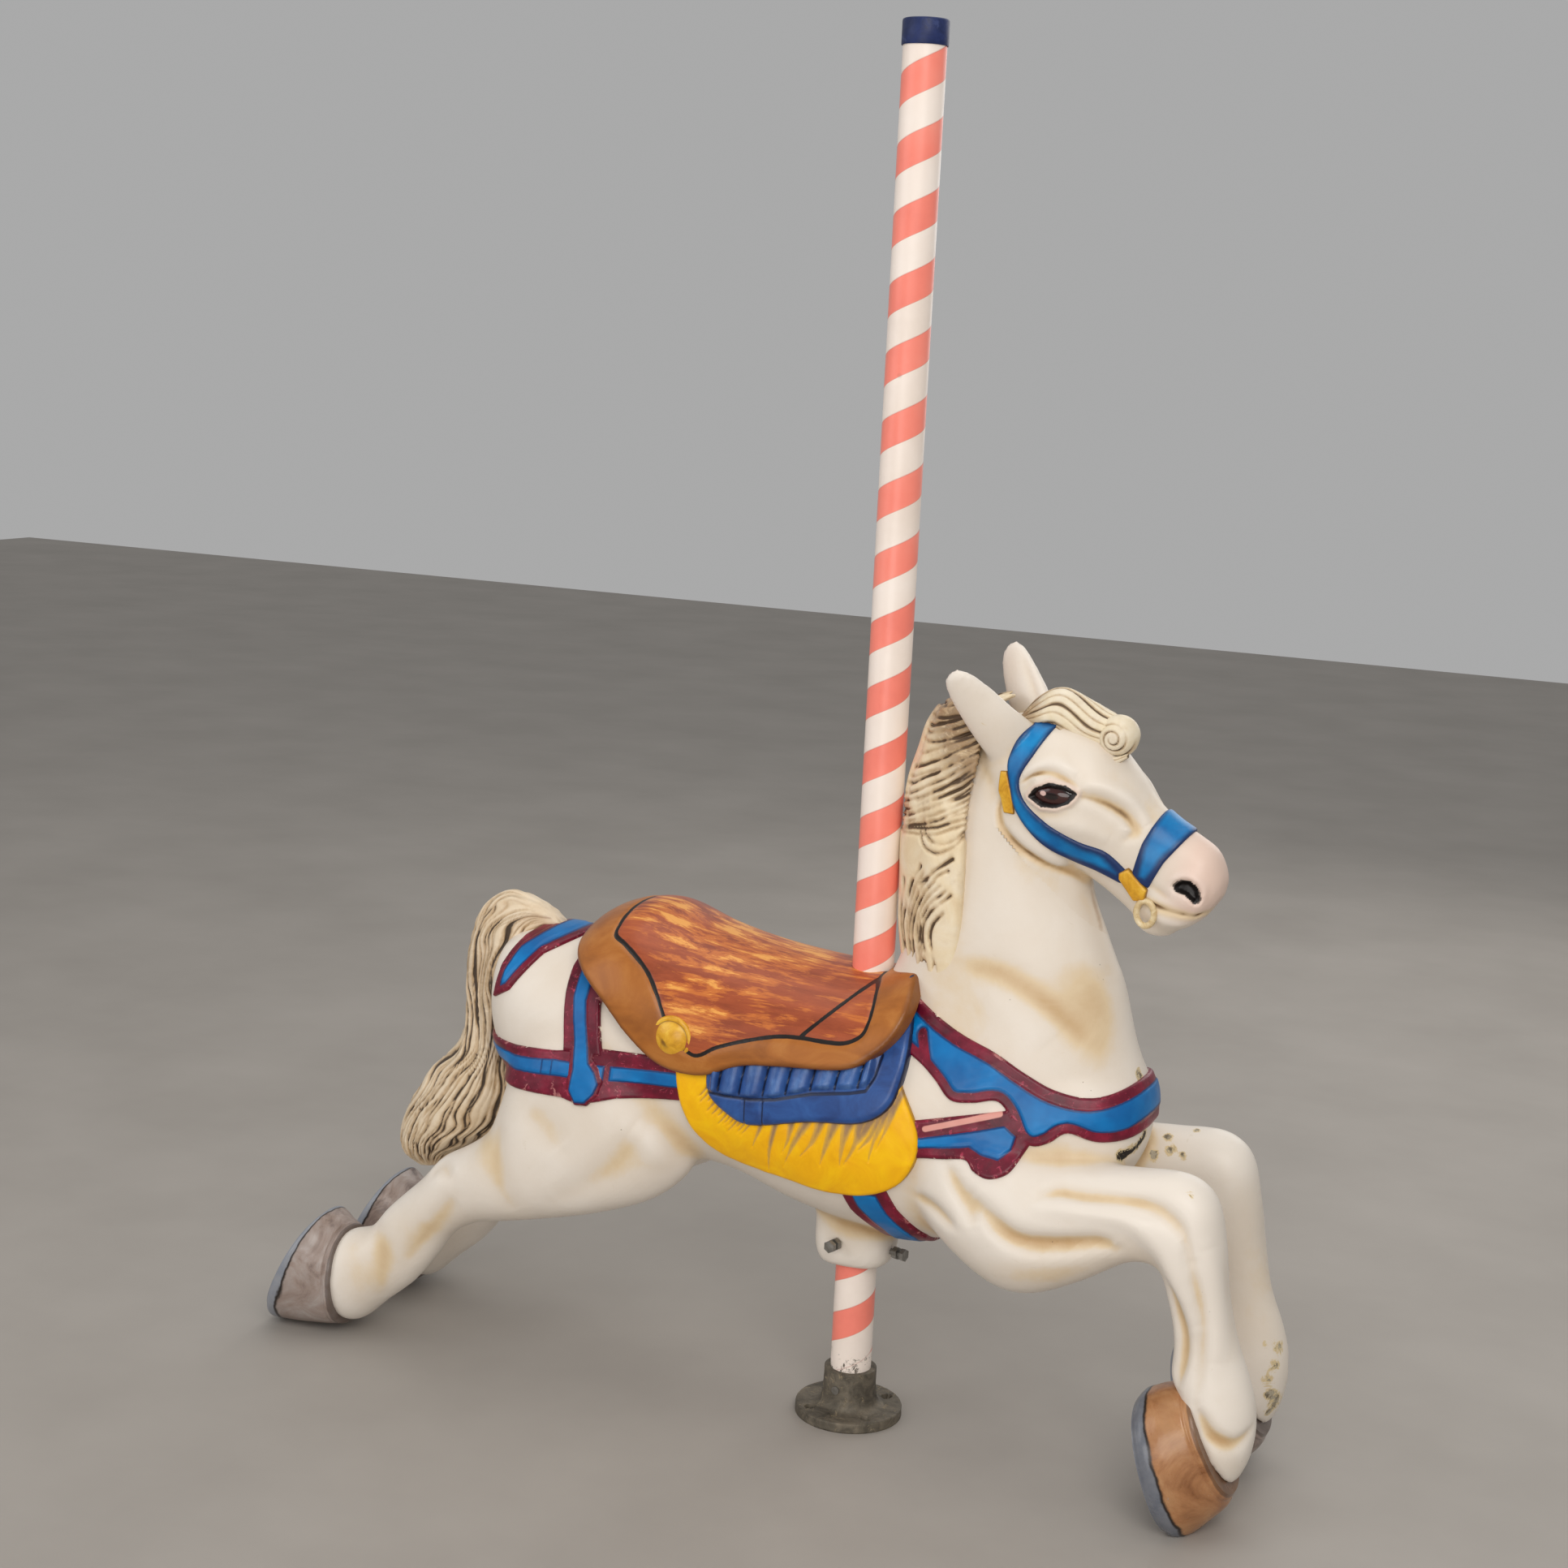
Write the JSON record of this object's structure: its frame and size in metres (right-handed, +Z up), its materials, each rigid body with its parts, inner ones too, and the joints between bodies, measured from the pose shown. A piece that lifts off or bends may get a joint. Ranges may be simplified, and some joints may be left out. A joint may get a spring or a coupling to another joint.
{
  "type": "carousel horse",
  "caption": "Galloping carousel horse with saddle and painted trappings, moulded in one piece and held on an upright striped pole with a floor flange.",
  "frame": {"origin": "middle of the floor flange's underside, on the pole's axis, at floor level", "axes": "+Z up along the pole, +X the way the horse faces, +Y the horse's left"},
  "size_m": [1.2454, 0.302, 1.6],
  "materials": {
    "horse_paint": "satin paint on moulded fibreglass, cream with ochre in the recesses, and bright saddle and straps",
    "pole_paint": "satin paint with one pink stripe winding up a cream ground, chipped near the foot",
    "cap_plastic": "dull navy",
    "flange_iron": "weathered, with rust and worn edges",
    "screw_steel": "dulled zinc"
  },
  "bodies": {
    "root": {"horse": "horse_paint", "pole": "pole_paint", "pole_cap": "cap_plastic", "floor_flange": "flange_iron", "flange_set_screw": "screw_steel", "pole_bolt_1": "screw_steel", "pole_bolt_2": "screw_steel"}
  },
  "joints": []
}
